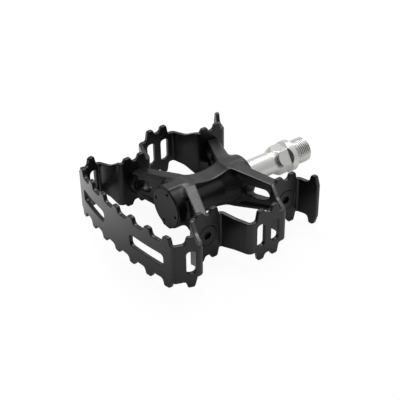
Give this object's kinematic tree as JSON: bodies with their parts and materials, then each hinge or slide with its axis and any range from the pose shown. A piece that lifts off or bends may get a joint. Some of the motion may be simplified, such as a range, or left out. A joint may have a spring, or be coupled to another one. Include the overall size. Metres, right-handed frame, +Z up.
{
  "type": "bicycle pedal",
  "caption": "Cage pedal: a toothed strip folded round a cast barrel with slotted arms, spinning on a threaded steel spindle.",
  "frame": {"origin": "on the spindle axis in the collar's face that seats on the crank", "axes": "+X along the spindle towards the crank, +Z up, the cage's front side at -Y"},
  "size_m": [0.1275, 0.1004, 0.0306],
  "materials": {
    "satin_black_aluminium": "cast, satin black anodised",
    "black_cage_aluminium": "stamped, satin black anodised",
    "cap_aluminium": "turned, matt black anodised",
    "black_oxide_steel": "black oxide",
    "turned_steel": "turned, satin nickel plated",
    "bearing_steel": "ground and polished",
    "retainer_nylon": "moulded",
    "shield_steel": "pressed",
    "seal_rubber": "moulded"
  },
  "bodies": {
    "spindle_set": {"spindle": "turned_steel", "inboard_inner_ring": "bearing_steel", "outboard_inner_ring": "bearing_steel", "lock_washer": "turned_steel", "lock_nut": "turned_steel"},
    "pedal_platform": {"pedal_body": "satin_black_aluminium", "cage": "black_cage_aluminium", "cage_screws": "black_oxide_steel", "dust_cap": "cap_aluminium", "dust_cap_o_ring": "seal_rubber", "inboard_outer_ring": "bearing_steel", "outboard_outer_ring": "bearing_steel", "inboard_crank_shield": "shield_steel", "inboard_cap_shield": "shield_steel", "outboard_crank_shield": "shield_steel", "outboard_cap_shield": "shield_steel", "inboard_seal": "seal_rubber"},
    "inboard_ball_set": {"inboard_balls": "bearing_steel", "inboard_retainer": "retainer_nylon"},
    "outboard_ball_set": {"outboard_balls": "bearing_steel", "outboard_retainer": "retainer_nylon"}
  },
  "joints": [
    {"name": "pedal_spin", "type": "hinge", "parent": "spindle_set", "child": "pedal_platform", "pos_m": [-0.057, 0, 0], "axis": [1, 0, 0], "continuous": true},
    {"name": "inboard_ball_orbit", "type": "hinge", "parent": "spindle_set", "child": "inboard_ball_set", "pos_m": [-0.0393, 0, 0], "axis": [1, 0, 0], "continuous": true},
    {"name": "outboard_ball_orbit", "type": "hinge", "parent": "spindle_set", "child": "outboard_ball_set", "pos_m": [-0.0742, 0, 0], "axis": [1, 0, 0], "continuous": true}
  ],
  "couplings": [
    {"joint": "inboard_ball_orbit", "follows": "pedal_spin", "ratio": 0.56667},
    {"joint": "outboard_ball_orbit", "follows": "pedal_spin", "ratio": 0.6}
  ]
}
